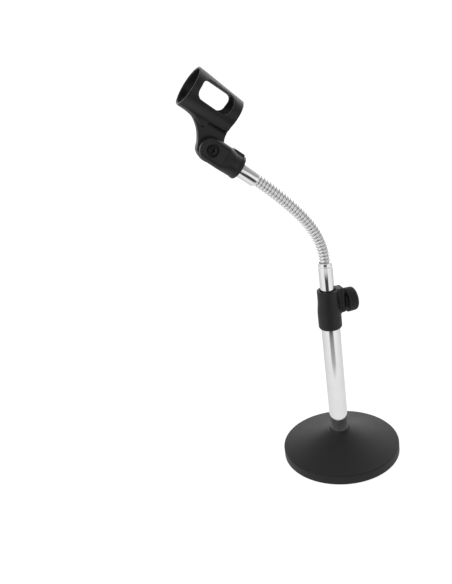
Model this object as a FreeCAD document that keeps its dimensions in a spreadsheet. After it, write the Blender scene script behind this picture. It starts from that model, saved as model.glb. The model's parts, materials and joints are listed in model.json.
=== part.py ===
# Desktop microphone stand: round weighted base, telescopic column with a
# thumb-screw clamp, gooseneck and a pivoting microphone holder.
# Millimetres, +Z up, origin at the centre of the rest face. The gooseneck
# bends toward -X in the XZ plane and the clamp knob points toward +X.
import FreeCAD, Part
import math
import os
import Sketcher

V = FreeCAD.Vector
ALONG_X, ALONG_Y = V(1, 0, 0), V(0, 1, 0)
doc = FreeCAD.newDocument("mic_stand")

# ------------------------------------------------------------------ sizes
# (alias, value); "dia" is a diameter, "af" a width across flats
SIZES = [
    # base
    ("base_dia", 130.0), ("base_rim_top", 11.1), ("base_floor", 0.8),
    ("cone_dish", 1.2), ("cone_top_dia", 27.0), ("cone_top_z", 28.3),
    ("boss_top_z", 30.3), ("boss_dia", 22.4),
    ("recess_dia", 100.0), ("recess_roof", 8.5), ("recess_deep_dia", 40.0),
    ("recess_deep_roof", 15.7), ("seat_z", 25.7),
    ("foot_outer_dia", 125.0), ("foot_inner_dia", 107.0), ("foot_groove", 1.8),
    # column
    ("column_dia", 20.0), ("column_bore", 17.0), ("column_top_z", 172.7),
    ("plug_len", 16.0), ("bolt_dia", 8.0), ("bolt_head_af", 13.0),
    ("bolt_head_high", 5.3), ("washer_dia", 20.0), ("washer_thick", 1.6),
    ("inner_dia", 15.0), ("inner_bore", 12.2), ("inner_foot_z", 77.7),
    ("rim_z", 230.85), ("bush_len", 22.0), ("fit", 0.05),
    # clamp
    ("clamp_low_z", 156.3), ("clamp_top_z", 199.8), ("clamp_dia", 25.0),
    ("clamp_neck_dia", 22.4), ("clamp_step_z", 175.7), ("clamp_bore", 16.6),
    ("lug_wide", 13.0), ("lug_high", 27.2), ("lug_end_x", 16.7),
    ("knob_z", 183.4), ("knob_dia", 26.0), ("knob_start_x", 19.0),
    ("knob_end_x", 30.8), ("screw_dia", 6.0), ("nut_af", 10.0),
    ("nut_thick", 5.0), ("nut_x", 10.6), ("pad_dia", 5.6), ("pad_thick", 2.2),
    # gooseneck
    ("goose_dia", 12.4), ("goose_bore", 5.0), ("turn_pitch", 3.8),
    ("turns_per_link", 4.0), ("ball_dia", 15.0), ("ball_gap", 0.16),
    ("groove_dia", 1.5), ("end_sleeve", 16.0),
    # head, measured along the axis from the top of the gooseneck
    ("ferrule_dia", 15.8), ("ferrule_deep", 15.0), ("stud_dia", 15.4),
    ("stud_end", 32.0), ("barrel_start", 20.5), ("pivot_at", 54.0),
    ("barrel_dia", 22.8), ("ear_dia", 24.2), ("slot_wide", 9.6),
    ("fork_floor", 40.0), ("insert_dia", 19.0), ("insert_len", 14.0),
    ("pivot_screw_dia", 5.0), ("head_pocket_dia", 12.0), ("screw_head_dia", 9.0),
    ("tongue_thick", 8.0), ("saddle_wide", 17.0), ("tongue_dia", 24.8),
    ("pivot_washer", 0.7),
    # microphone holder, measured from the pivot
    ("holder_drop", 36.5), ("holder_front", 48.4), ("holder_back", -2.6),
    ("holder_dia", 38.2), ("holder_back_dia", 32.4), ("holder_bore", 34.4),
    ("holder_back_bore", 28.6), ("ring_len", 6.8),
    ("window_back", 6.8), ("window_front", 41.3), ("window_low", 31.4),
    ("window_high", 50.0), ("window_round", 6.5),
    ("far_window_back", 5.4), ("far_window_front", 34.8),
]
TOUCH_GAP = 0.02       # left between faces that rest on each other
BOLT_CLEARANCE = 0.3   # radial, round the base bolt

sheet = doc.addObject("Spreadsheet::Sheet", "Sizes")
for row, (alias, value) in enumerate(SIZES, start=1):
    sheet.set("A%d" % row, alias)
    sheet.set("B%d" % row, str(value))
    sheet.setAlias("B%d" % row, alias)
doc.recompute()


class Length:
    """A length that carries its value and the sheet formula it comes from."""

    def __init__(self, mm, formula):
        self.mm = float(mm)
        self.formula = formula

    def __add__(self, other):
        other = as_length(other)
        return Length(self.mm + other.mm, "(%s + %s)" % (self.formula, other.formula))

    def __sub__(self, other):
        other = as_length(other)
        return Length(self.mm - other.mm, "(%s - %s)" % (self.formula, other.formula))

    def __mul__(self, other):
        other = as_length(other)
        return Length(self.mm * other.mm, "(%s * %s)" % (self.formula, other.formula))

    def __truediv__(self, other):
        other = as_length(other)
        return Length(self.mm / other.mm, "(%s / %s)" % (self.formula, other.formula))

    def __neg__(self):
        return Length(-self.mm, "(-%s)" % self.formula)


def as_length(value):
    return value if isinstance(value, Length) else Length(value, repr(float(value)))


class Sizes:
    """Every sheet length, as an attribute named by its alias."""


size = Sizes()
for alias, value in SIZES:
    setattr(size, alias, Length(value, "Sizes." + alias))


# ---------------------------------------------------------------- helpers
def bind(target, prop, value):
    """Set a property and drive it by the formula of its length."""
    value = as_length(value)
    setattr(target, prop, value.mm)
    target.setExpression(prop, value.formula)


def new_sketch(body, name, role="XZ_Plane", offset=None):
    plane = next(f for f in body.Origin.OriginFeatures if f.Role == role)
    sketch = body.newObject("Sketcher::SketchObject", name)
    sketch.AttachmentSupport = [(plane, "")]
    sketch.MapMode = "FlatFace"
    if offset is not None:
        sketch.AttachmentOffset = FreeCAD.Placement(V(0, 0, offset.mm), FreeCAD.Rotation())
        sketch.setExpression("AttachmentOffset.Base.z", offset.formula)
    return sketch


def drive(sketch, constraint, tag, formula):
    index = sketch.addConstraint(constraint)
    sketch.renameConstraint(index, tag)
    sketch.setExpression("Constraints." + tag, formula)


def hold(sketch, geometry, vertex, axis, coordinate, tag):
    """Hold one coordinate (axis "X" or "Y") of a sketch vertex."""
    coordinate = as_length(coordinate)
    if coordinate.formula == "0.0":
        axis_line = -2 if axis == "X" else -1
        sketch.addConstraint(
            Sketcher.Constraint("PointOnObject", geometry, vertex, axis_line))
    else:
        drive(sketch,
              Sketcher.Constraint("Distance" + axis, -1, 1, geometry, vertex, coordinate.mm),
              tag, coordinate.formula)


def pin(sketch, geometry, vertex, x, y, tag):
    hold(sketch, geometry, vertex, "X", x, tag + "_x")
    hold(sketch, geometry, vertex, "Y", y, tag + "_y")


def circle(sketch, radius, x, y):
    radius, x, y = as_length(radius), as_length(x), as_length(y)
    sketch.addGeometry(Part.Circle(V(x.mm, y.mm, 0), V(0, 0, 1), radius.mm), False)
    drive(sketch, Sketcher.Constraint("Radius", 0, radius.mm), "circle_r", radius.formula)
    pin(sketch, 0, 3, x, y, "circle")


def outline(sketch, points):
    """Closed outline. A point is (x, y), or (x, y, cx, cy) when an arc about
    (cx, cy) runs from this point to the next one, the short way round."""
    plain = [[as_length(number).mm for number in point] for point in points]
    ends = []  # first and last vertex of each segment, as run by the outline
    for i, point in enumerate(plain):
        x, y = point[:2]
        next_x, next_y = plain[(i + 1) % len(plain)][:2]
        if len(point) == 2:
            sketch.addGeometry(Part.LineSegment(V(x, y, 0), V(next_x, next_y, 0)), False)
            ends.append((1, 2))
            continue
        cx, cy = point[2:]
        start = math.atan2(y - cy, x - cx)
        stop = math.atan2(next_y - cy, next_x - cx)
        sweep = (stop - start + math.pi) % (2 * math.pi) - math.pi
        low, high = (start, start + sweep) if sweep > 0 else (stop, stop - sweep)
        whole = Part.Circle(V(cx, cy, 0), V(0, 0, 1), math.hypot(x - cx, y - cy))
        sketch.addGeometry(Part.ArcOfCircle(whole, low, high), False)
        ends.append((1, 2) if sweep > 0 else (2, 1))
    for i in range(len(points)):
        j = (i + 1) % len(points)
        sketch.addConstraint(Sketcher.Constraint("Coincident", i, ends[i][1], j, ends[j][0]))
    for i, point in enumerate(points):
        pin(sketch, i, ends[i][0], point[0], point[1], "p%d" % i)
        if len(point) == 4:
            # the ends fix the centre's other coordinate
            hold(sketch, i, 3, "X", point[2], "pc%d_x" % i)


def turned(name, points, placement=None):
    """A body turned about its own Z axis from an outline of (radius, height)."""
    body = doc.addObject("PartDesign::Body", name)
    body.Label = name
    sketch = new_sketch(body, name + "_profile")
    outline(sketch, points)
    revolution = body.newObject("PartDesign::Revolution", name + "_turned")
    revolution.Profile = sketch
    revolution.ReferenceAxis = (sketch, ["V_Axis"])
    revolution.Angle = 360.0
    sketch.Visibility = False
    body.Tip = revolution
    if placement is not None:
        body.Placement = placement
    return body


def rounded(body, name, amount, pick, kind="Fillet"):
    """Fillet or chamfer the edges of the tip that pick(edge) accepts."""
    doc.recompute()
    tip = body.Tip
    names = ["Edge%d" % i for i, edge in enumerate(tip.Shape.Edges, start=1) if pick(edge)]
    if not names:
        raise RuntimeError("no edge to round on " + name)
    feature = body.newObject("PartDesign::" + kind, name)
    feature.Base = (tip, names)
    bind(feature, "Radius" if kind == "Fillet" else "Size", amount)
    body.Tip = feature
    doc.recompute()
    if "Invalid" in feature.State or "Error" in feature.State or feature.Shape.isNull():
        raise RuntimeError("rounding failed: " + name)


def ring_edge(height, *radii):
    """Picks circular edges about the own Z axis at this height, with any of
    these radii."""
    tolerance = 0.05
    height = as_length(height).mm

    def pick(edge):
        curve = edge.Curve
        return (hasattr(curve, "Radius")
                and any(abs(curve.Radius - radius.mm) < tolerance for radius in radii)
                and abs(curve.Center.z - height) < tolerance
                and math.hypot(curve.Center.x, curve.Center.y) < tolerance)
    return pick


def softened(kind, name, base, amount, pick):
    """A Part fillet or chamfer on the edges of base that pick(edge) accepts."""
    feature = doc.addObject("Part::" + kind, name)
    feature.Base = base
    doc.recompute()
    feature.Edges = [(i, amount, amount)
                     for i, edge in enumerate(base.Shape.Edges, start=1) if pick(edge)]
    return feature


def place(target, base, direction=None):
    """Move a primitive to base, with its own Z along direction."""
    base = [as_length(coordinate) for coordinate in base]
    turn = FreeCAD.Rotation()
    if direction is not None:
        turn = FreeCAD.Rotation(V(0, 0, 1), direction)
    target.Placement = FreeCAD.Placement(V(*[c.mm for c in base]), turn)
    for axis, coordinate in zip("xyz", base):
        target.setExpression("Placement.Base." + axis, coordinate.formula)
    return target


def cylinder(name, radius, height, base=(0, 0, 0), direction=None):
    solid = doc.addObject("Part::Cylinder", name)
    bind(solid, "Radius", radius)
    bind(solid, "Height", height)
    return place(solid, base, direction)


def box(name, extents, base):
    solid = doc.addObject("Part::Box", name)
    for prop, extent in zip(("Length", "Width", "Height"), extents):
        bind(solid, prop, extent)
    return place(solid, base)


def hexagon(name, across_flats, height, base, direction=None):
    solid = doc.addObject("Part::Prism", name)
    solid.Polygon = 6
    bind(solid, "Circumradius", as_length(across_flats) / (2.0 * math.cos(math.pi / 6)))
    bind(solid, "Height", height)
    return place(solid, base, direction)


def cut(name, base, *tools):
    tool = tools[0] if len(tools) == 1 else fuse(name + "_tools", *tools)
    result = doc.addObject("Part::Cut", name)
    result.Base, result.Tool = base, tool
    return result


def fuse(name, *parts):
    result = doc.addObject("Part::MultiFuse", name)
    result.Shapes = list(parts)
    return result


def common(name, *parts):
    result = doc.addObject("Part::MultiCommon", name)
    result.Shapes = list(parts)
    return result


def placed(target, placement):
    target.Placement = placement
    return target


# ------------------------------------------------------------------- base
bolt_radius = size.bolt_dia / 2
bolt_hole = bolt_radius + BOLT_CLEARANCE
column_radius = size.column_dia / 2
column_socket = column_radius + size.fit
bolt_head_top = size.recess_deep_roof - size.washer_thick
foot_top = size.base_floor + size.foot_groove


def dish_centre(x1, y1, x2, y2, sag):
    """Centre, above the chord, of the arc that hangs sag below its middle."""
    chord = math.hypot(x1 - x2, y2 - y1)
    rise = chord ** 2 / (8.0 * sag) - sag / 2.0
    return ((x1 + x2) / 2.0 + (y2 - y1) / chord * rise,
            (y1 + y2) / 2.0 + (x1 - x2) / chord * rise)


def base_plate():
    rim = size.base_dia / 2
    cone = size.cone_top_dia / 2
    boss = size.boss_dia / 2
    deep_recess = size.recess_deep_dia / 2
    recess = size.recess_dia / 2
    groove_inner = size.foot_inner_dia / 2 - size.fit
    groove_outer = size.foot_outer_dia / 2 + size.fit
    deep_slope, recess_flare, rim_taper = 4, 1.5, 0.4
    # the top is a shallow cone, dished below the straight line
    dish_x, dish_y = dish_centre(rim.mm, size.base_rim_top.mm,
                                 cone.mm, size.cone_top_z.mm, size.cone_dish.mm)
    plate = turned("base_plate", [
        (bolt_hole, size.recess_deep_roof),
        (deep_recess - deep_slope, size.recess_deep_roof),
        (deep_recess, size.recess_roof),
        (recess, size.recess_roof),
        (recess + recess_flare, size.base_floor),
        (groove_inner, size.base_floor),
        (groove_inner, foot_top),
        (groove_outer, foot_top),
        (groove_outer, size.base_floor),
        (rim - rim_taper, size.base_floor),
        (rim, size.base_rim_top, dish_x, dish_y),
        (cone, size.cone_top_z),
        (boss, size.boss_top_z),
        (column_socket, size.boss_top_z),
        (column_socket, size.seat_z),
        (bolt_hole, size.seat_z),
    ])
    rounded(plate, "rim_round", 1.3, ring_edge(size.base_rim_top, rim))
    rounded(plate, "boss_foot", 6.0, ring_edge(size.cone_top_z, cone))
    rounded(plate, "boss_lip", 0.5, ring_edge(size.boss_top_z, boss))
    return plate


def foot_ring():
    inner, outer = size.foot_inner_dia / 2, size.foot_outer_dia / 2
    top = foot_top - TOUCH_GAP
    ring = turned("foot_ring", [(inner, 0.0), (outer, 0.0), (outer, top), (inner, top)])
    rounded(ring, "foot_round", 0.4, ring_edge(0.0, outer, inner))
    return ring


def base_washer():
    outer = size.washer_dia / 2
    washer = turned("base_washer", [
        (bolt_hole, bolt_head_top), (outer, bolt_head_top),
        (outer, size.recess_deep_roof), (bolt_hole, size.recess_deep_roof)])
    rounded(washer, "washer_edge", 0.3, ring_edge(bolt_head_top, outer), "Chamfer")
    return washer


def base_bolt():
    """Hexagon bolt, head down inside the recess."""
    head_low = bolt_head_top - size.bolt_head_high
    flat_radius = size.bolt_head_af / 2
    crown_inset, crown_overhang, crown_high = 0.4, 1.3, 1.0
    head_overlap, tip_below_plug, tip_chamfer = 1, 2.0, 0.8
    tip = size.seat_z + size.plug_len - tip_below_plug
    hex_prism = hexagon("bolt_hex", size.bolt_head_af, size.bolt_head_high, (0, 0, head_low))
    crown = turned("bolt_crown", [
        (0.0, head_low), (flat_radius - crown_inset, head_low),
        (flat_radius + crown_overhang, head_low + crown_high),
        (flat_radius + crown_overhang, bolt_head_top), (0.0, bolt_head_top)])
    head = common("bolt_head", hex_prism, crown)
    shank = turned("bolt_shank", [
        (0.0, bolt_head_top - head_overlap), (bolt_radius, bolt_head_top - head_overlap),
        (bolt_radius, tip - tip_chamfer), (bolt_radius - tip_chamfer, tip), (0.0, tip)])
    return fuse("base_bolt", head, shank)


def tube_plug():
    inner = bolt_radius + size.fit
    outer = size.column_bore / 2 - size.fit
    low, top = size.seat_z + TOUCH_GAP, size.seat_z + size.plug_len
    plug = turned("tube_plug", [(inner, low), (outer, low), (outer, top), (inner, top)])
    rounded(plug, "plug_lead", 0.8, ring_edge(top, outer), "Chamfer")
    return plug


# ----------------------------------------------------------------- column
column_bore_radius = size.column_bore / 2
inner_radius = size.inner_dia / 2
inner_bore_radius = size.inner_bore / 2
slide_outer = column_bore_radius - size.fit   # slides in the lower tube
slide_inner = inner_radius + size.fit         # takes the inner tube


def lower_tube():
    chamfer = 0.3
    return turned("lower_tube", [
        (column_bore_radius, size.seat_z), (column_radius, size.seat_z),
        (column_radius, size.column_top_z - chamfer),
        (column_radius - chamfer, size.column_top_z),
        (column_bore_radius, size.column_top_z)])


def upper_guide():
    """Bush in the top of the lower tube, with a flange on the tube's end."""
    low = size.column_top_z - size.bush_len
    flange_low = size.column_top_z + TOUCH_GAP
    flange_top = size.column_top_z + 1.2
    flange = column_radius - 0.4
    return turned("upper_guide", [
        (slide_inner, low), (slide_outer, low), (slide_outer, flange_low),
        (flange, flange_low), (flange, flange_top), (slide_inner, flange_top)])


def inner_tube():
    foot, rim = size.inner_foot_z, size.rim_z
    foot_chamfer, waist_depth, counterbore = 0.5, 0.25, 0.25
    sleeve_low = rim - size.end_sleeve - 0.5
    return turned("inner_tube", [
        (inner_bore_radius, foot),
        (inner_radius - foot_chamfer, foot),
        (inner_radius, foot + foot_chamfer),
        (inner_radius, rim - 5.0),
        (inner_radius - waist_depth, rim - 4.2),
        (inner_radius - waist_depth, rim - 0.7),
        (inner_radius - 0.8, rim),
        (inner_bore_radius + counterbore, rim),
        (inner_bore_radius + counterbore, sleeve_low),
        (inner_bore_radius, sleeve_low)])


def guide_bush():
    """Bush at the foot of the inner tube, with a shoulder below the tube."""
    shoulder_radius = inner_bore_radius - 1.2
    low = size.inner_foot_z - 2.6
    shoulder = size.inner_foot_z - 0.06
    top = size.inner_foot_z + size.bush_len - 6
    return turned("guide_bush", [
        (shoulder_radius, low), (slide_outer, low), (slide_outer, top),
        (slide_inner, top), (slide_inner, shoulder), (shoulder_radius, shoulder)])


# ------------------------------------------------------------------ clamp
socket_top = size.column_top_z + 1.4
screw_radius = size.screw_dia / 2
pad_start = inner_radius + size.fit
# own Z of the screw parts lies along +X at the knob's height
TO_KNOB = FreeCAD.Placement(V(0, 0, size.knob_z.mm), FreeCAD.Rotation(V(0, 1, 0), 90))


def clamp_shell():
    low, top = size.clamp_low_z, size.clamp_top_z
    outer, neck, bore = size.clamp_dia / 2, size.clamp_neck_dia / 2, size.clamp_bore / 2
    neck_length = 10.0
    shell = turned("clamp_shell", [
        (column_socket, low), (outer, low), (outer, size.clamp_step_z),
        (neck, top - neck_length), (neck, top), (bore, top),
        (bore, socket_top), (column_socket, socket_top)])
    rounded(shell, "clamp_foot_round", 1.9, ring_edge(low, outer))
    rounded(shell, "clamp_lip", 0.6, ring_edge(top, neck))
    return shell


def clamp_lug():
    """Block toward +X that carries the nut, hollowed round the column."""
    low = size.clamp_top_z - size.lug_high
    lug = box("lug_block", (size.lug_end_x, size.lug_wide, size.lug_high),
              (0.0, -size.lug_wide / 2, low))
    # the end face and the long edges toward it
    lug_round = softened("Fillet", "lug_round", lug, 1.1, lambda edge:
                         edge.BoundBox.XMin > size.lug_end_x.mm - 0.01
                         or edge.BoundBox.XLength > 5)
    hollow = cylinder("lug_hollow", column_radius + 1.0, size.lug_high + 2, (0, 0, low - 1))
    return cut("lug_solid", lug_round, hollow)


def clamp_body():
    shell = clamp_shell()
    lug = clamp_lug()
    web = box("lug_web", (8.0, size.lug_wide - 1, 24.0),
              (4.0, -size.lug_wide / 2 + 0.5, size.clamp_top_z - 24.6))
    union = fuse("clamp_union", shell, lug, web)
    core_bore = cylinder("core_bore", size.clamp_bore / 2, 40.0, (0, 0, socket_top))
    below = 2   # overrun of the socket below the clamp
    tube_socket = cylinder("tube_socket", column_socket,
                           socket_top - size.clamp_low_z + below,
                           (0, 0, size.clamp_low_z - below))
    pad_hole = cylinder("pad_hole", screw_radius + 0.15, 16.0, (5.0, 0, size.knob_z), ALONG_X)
    # open downward from the nut
    slot_gap, slot_drop = 0.05, 20.0
    nut_slot = box("nut_slot",
                   (size.nut_thick + 2 * slot_gap, size.nut_af + 2 * slot_gap,
                    size.nut_af / 2 + slot_gap + slot_drop),
                   (size.nut_x - slot_gap, -size.nut_af / 2 - slot_gap,
                    size.knob_z - slot_drop))
    return cut("clamp_body", union, core_bore, tube_socket, pad_hole, nut_slot)


def clamp_nut():
    """Square nut with its four edges along X chamfered."""
    block = box("nut_block", (size.nut_thick, size.nut_af, size.nut_af),
                (size.nut_x, -size.nut_af / 2, size.knob_z - size.nut_af / 2))
    chamfered = softened("Chamfer", "nut_round", block, 0.6,
                         lambda edge: edge.BoundBox.XLength > 1)
    bore = cylinder("nut_bore", screw_radius + size.fit, 12.0,
                    (size.nut_x - 2, 0, size.knob_z), ALONG_X)
    return cut("clamp_nut", chamfered, bore)


def pressure_pad():
    """Pad on the inner tube, with a blind hole for the screw's tip."""
    radius, end = size.pad_dia / 2, pad_start + size.pad_thick
    hole, hole_floor, chamfer = 1.7, pad_start + 0.9, 0.5
    return turned("pressure_pad", [
        (0.0, pad_start), (radius - chamfer, pad_start), (radius, pad_start + chamfer),
        (radius, end), (hole, end), (hole, hole_floor), (0.0, hole_floor)], TO_KNOB)


def clamp_screw():
    tip, tip_start, chamfer = 1.65, pad_start + 0.95, 0.5
    shoulder = pad_start + size.pad_thick + 0.05
    end = size.knob_end_x - 4.0
    return turned("clamp_screw", [
        (0.0, tip_start), (tip, tip_start), (tip, shoulder),
        (screw_radius - chamfer, shoulder), (screw_radius, shoulder + chamfer),
        (screw_radius, end), (0.0, end)], TO_KNOB)


def clamp_knob():
    """Domed knob with a hub toward the clamp and flutes round its edge."""
    start, end = size.knob_start_x, size.knob_end_x
    radius, bore = size.knob_dia / 2, screw_radius + TOUCH_GAP
    hub_radius, hub_start, bore_end = 7.2, size.lug_end_x + 0.6, end - 3.95
    shoulder_radius, shoulder_at = radius - 0.2, end - 4.4
    dome_radius, dome_at = radius - 1.6, end - 1.8
    knob = turned("clamp_knob", [
        (bore, hub_start), (hub_radius, hub_start), (hub_radius, start),
        (radius - 0.7, start), (radius, start + 1.0),
        (shoulder_radius, shoulder_at), (dome_radius, dome_at),
        (radius - 4.6, end), (0.0, end),
        (0.0, bore_end), (bore, bore_end)], TO_KNOB)
    rounded(knob, "knob_shoulder", 2.5, ring_edge(shoulder_at, shoulder_radius))
    rounded(knob, "knob_dome", 2.5, ring_edge(dome_at, dome_radius))

    flute_radius, flute_outset, flute_count = 1.15, 0.75, 30
    sketch = new_sketch(knob, "flute_profile", "XY_Plane", start - 0.5)
    circle(sketch, flute_radius, radius + flute_outset, 0.0)
    flute = knob.newObject("PartDesign::Pocket", "flute")
    flute.Profile = sketch
    bind(flute, "Length", end - start + 2)
    flute.Reversed = True
    knob.Tip = flute
    doc.recompute()
    flutes = knob.newObject("PartDesign::PolarPattern", "flutes")
    flutes.Originals = [flute]
    flutes.Axis = (sketch, ["N_Axis"])
    flutes.Angle = 360.0
    flutes.Occurrences = flute_count
    knob.Tip = flutes
    doc.recompute()
    return knob


# -------------------------------------------------------------- gooseneck
neck_radius = size.goose_dia / 2
neck_bore = size.goose_bore / 2
ball_radius = size.ball_dia / 2
socket_radius = ball_radius + size.ball_gap
link_length = size.turn_pitch * size.turns_per_link

# Leans from the vertical, in degrees, of the seven links and the upper end;
# the lower end stands upright.
LEANS = [11.9, 22.8, 31.7, 37.8, 41.3, 43.4, 45.3, 48.0]


def step_along(point, lean, distance):
    angle = math.radians(lean)
    return V(point.x - distance * math.sin(angle), 0, point.z + distance * math.cos(angle))


def leaning(point, lean):
    return FreeCAD.Placement(point, FreeCAD.Rotation(V(0, 1, 0), -lean))


# the first hinge is half a link above the inner tube's rim
HINGES = [V(0, 0, size.rim_z.mm + link_length.mm / 2.0)]
for lean in LEANS[:-1]:
    HINGES.append(step_along(HINGES[-1], lean, link_length.mm))
HEAD = leaning(step_along(HINGES[-1], LEANS[-1], link_length.mm / 2.0), LEANS[-1])


def drop(radius, sphere):
    """Height of a sphere's surface at this radius from its centre plane."""
    return Length(math.sqrt(sphere.mm ** 2 - radius.mm ** 2), "sqrt(%s * %s - %s * %s)" % (
        sphere.formula, sphere.formula, radius.formula, radius.formula))


def neck_piece(name, placement, high, first_groove, grooves, flat_low=None, socket=True):
    """A ribbed length of the neck. Its low end is a ball face about its
    origin, or flat at flat_low; its high end is a socket about the hinge at
    high, or flat there."""
    if flat_low is None:
        points = [(neck_bore, -drop(neck_bore, ball_radius), 0.0, 0.0),
                  (neck_radius, -drop(neck_radius, ball_radius))]
    else:
        points = [(neck_bore, flat_low), (neck_radius, flat_low)]
    if socket:
        points += [(neck_radius, high - drop(neck_radius, socket_radius), 0.0, high),
                   (neck_bore, high - drop(neck_bore, socket_radius))]
    else:
        points += [(neck_radius, high), (neck_bore, high)]
    body = turned(name, points, placement)

    sketch = new_sketch(body, name + "_rib")
    groove_outset = 0.25   # groove centre beyond the neck's surface
    circle(sketch, size.groove_dia / 2, neck_radius + groove_outset, first_groove)
    groove = body.newObject("PartDesign::Groove", name + "_groove")
    groove.Profile = sketch
    groove.ReferenceAxis = (sketch, ["V_Axis"])
    groove.Angle = 360.0
    body.Tip = groove
    if grooves > 1:
        doc.recompute()
        turns = body.newObject("PartDesign::LinearPattern", name + "_turns")
        turns.Originals = [groove]
        turns.Direction = (sketch, ["V_Axis"])
        bind(turns, "Length", size.turn_pitch * (grooves - 1))
        turns.Occurrences = grooves
        body.Tip = turns
    return body


def gooseneck():
    half_pitch = size.turn_pitch * 0.5
    ball_groove = -drop(neck_radius, ball_radius) + half_pitch
    # the lower end sits in the inner tube, with its origin at the rim
    at_rim = FreeCAD.Placement(V(0, 0, size.rim_z.mm), FreeCAD.Rotation())
    lengths = [neck_piece("gooseneck_lower_end", at_rim, link_length / 2, half_pitch, 1,
                          flat_low=-size.end_sleeve)]
    for k in range(len(HINGES) - 1):
        lengths.append(neck_piece("gooseneck_link_%d" % (k + 1), leaning(HINGES[k], LEANS[k]),
                                  link_length, ball_groove, int(size.turns_per_link.mm)))
    # the upper end stops short of the bottom of the ferrule's bore
    lengths.append(neck_piece("gooseneck_upper_end", leaning(HINGES[-1], LEANS[-1]),
                              link_length / 2 + size.ferrule_deep - 1.0, ball_groove, 3,
                              socket=False))
    return lengths


# ------------------------------------------------------------------- head
# drawn about Z from the top of the gooseneck, then placed by HEAD
stud_radius = size.stud_dia / 2
insert_radius = size.insert_dia / 2
insert_start = size.barrel_start + 0.6
insert_room_radius = insert_radius + 0.03
stud_room_radius = insert_radius - 1.4


def upper_ferrule():
    """Sleeve on the end of the neck, running on into a stud."""
    radius, barrel_start, end = size.ferrule_dia / 2, size.barrel_start, size.stud_end
    neck_room, through_hole = neck_radius + 0.06, 2.6
    undercut, sleeve_end = stud_radius - 0.8, barrel_start - 0.2
    return turned("upper_ferrule", [
        (neck_room, 0.0), (radius - 0.5, 0.0), (radius, 0.6),
        (radius, sleeve_end), (undercut, sleeve_end),
        (undercut, barrel_start + 1.2), (stud_radius, barrel_start + 2.0),
        (stud_radius, end - 1.0), (stud_radius - 1.0, end),
        (through_hole, end), (through_hole, size.ferrule_deep),
        (neck_room, size.ferrule_deep)], HEAD)


def thread_insert():
    inner, end = stud_radius + size.fit, insert_start + size.insert_len
    return turned("thread_insert", [
        (inner, insert_start), (insert_radius, insert_start),
        (insert_radius, end), (inner, end)], HEAD)


def barrel_core():
    start, radius = size.barrel_start, size.barrel_dia / 2
    collar = radius + 0.5
    end, stud_room_end = size.pivot_at + 13.0, size.stud_end + 4.0
    insert_end = insert_start + TOUCH_GAP + size.insert_len
    barrel = turned("barrel_core", [
        (insert_room_radius, start), (collar, start), (collar, start + 3.0),
        (radius, start + 4.2), (radius, end), (0.0, end), (0.0, stud_room_end),
        (stud_room_radius, stud_room_end), (stud_room_radius, insert_end),
        (insert_room_radius, insert_end)])
    rounded(barrel, "barrel_edge", 0.7, ring_edge(start, collar))
    return barrel


def swivel_base():
    """Barrel on the stud whose far end is a fork with two ears."""
    start, pivot, floor = size.barrel_start, size.pivot_at, size.fork_floor
    barrel_radius = size.barrel_dia / 2
    barrel = barrel_core()

    # kept: the ears' round end, and flats on both sides beyond the barrel
    reach = 30.0   # wider than the barrel
    half = reach / 2
    ear_disc = cylinder("ear_disc", size.ear_dia / 2, reach, (0, -half, pivot), ALONG_Y)
    ear_block = box("ear_block", (size.ear_dia, reach, pivot - start + 1.0),
                    (-size.ear_dia / 2, -half, start - 1.0))
    ear_keep = fuse("ear_keep", ear_disc, ear_block)
    barrel_wide = box("barrel_wide", (reach, reach, floor - 4.0 - start + 1.0),
                      (-half, -half, start - 1.0))
    flats_apart = 21.4
    flat_keep = box("flat_keep", (reach, flats_apart, 60.0),
                    (-half, -flats_apart / 2, floor - 5.0))
    flat_all = fuse("flat_all", barrel_wide, flat_keep)
    fork_raw = common("fork_raw", barrel, ear_keep, flat_all)

    # raised pad on the barrel's +X side
    pad_wide = 9.0
    pad = box("grip_top", (3.0, pad_wide, 12.0),
              (barrel_radius - 1.3, -pad_wide / 2, start + 2.4))
    pad_round = softened("Fillet", "grip_round", pad, 0.6, lambda edge:
                         edge.BoundBox.Center.x > barrel_radius.mm + 1.0)
    fork_union = fuse("fork_union", fork_raw, pad_round)

    slot = box("fork_slot", (reach, size.slot_wide, 60.0), (-half, -size.slot_wide / 2, floor))
    pin_hole = cylinder("pin_hole", size.pivot_screw_dia / 2 + 0.1, 40.0,
                        (0, -20.0, pivot), ALONG_Y)
    head_pocket = cylinder("head_pocket", size.head_pocket_dia / 2, 4.0,
                           (0, -11.9, pivot), ALONG_Y)
    nut_pocket = hexagon("nut_pocket", PIVOT_NUT_AF + 0.1, 6.0, (0, 7.2, pivot), ALONG_Y)
    insert_room = cylinder("insert_room", insert_room_radius, size.insert_len + 1.62,
                           (0, 0, start - 1.0))
    stud_room = cylinder("stud_room", stud_room_radius, 8.0, (0, 0, size.stud_end - 4.0))
    swivel = cut("swivel_base", fork_union, slot, pin_hole, head_pocket, nut_pocket,
                 insert_room, stud_room)
    return placed(swivel, HEAD)


# ------------------------------------------------------- pivot fasteners
# drawn about Z at the origin, then laid with that Z along +Y at the pivot
AT_PIVOT = HEAD.multiply(FreeCAD.Placement(V(0, 0, size.pivot_at.mm), FreeCAD.Rotation()))
PIVOT = AT_PIVOT.multiply(FreeCAD.Placement(V(), FreeCAD.Rotation(V(1, 0, 0), -90)))
PIVOT_NUT_AF = 8.0
pivot_radius = size.pivot_screw_dia / 2


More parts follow.
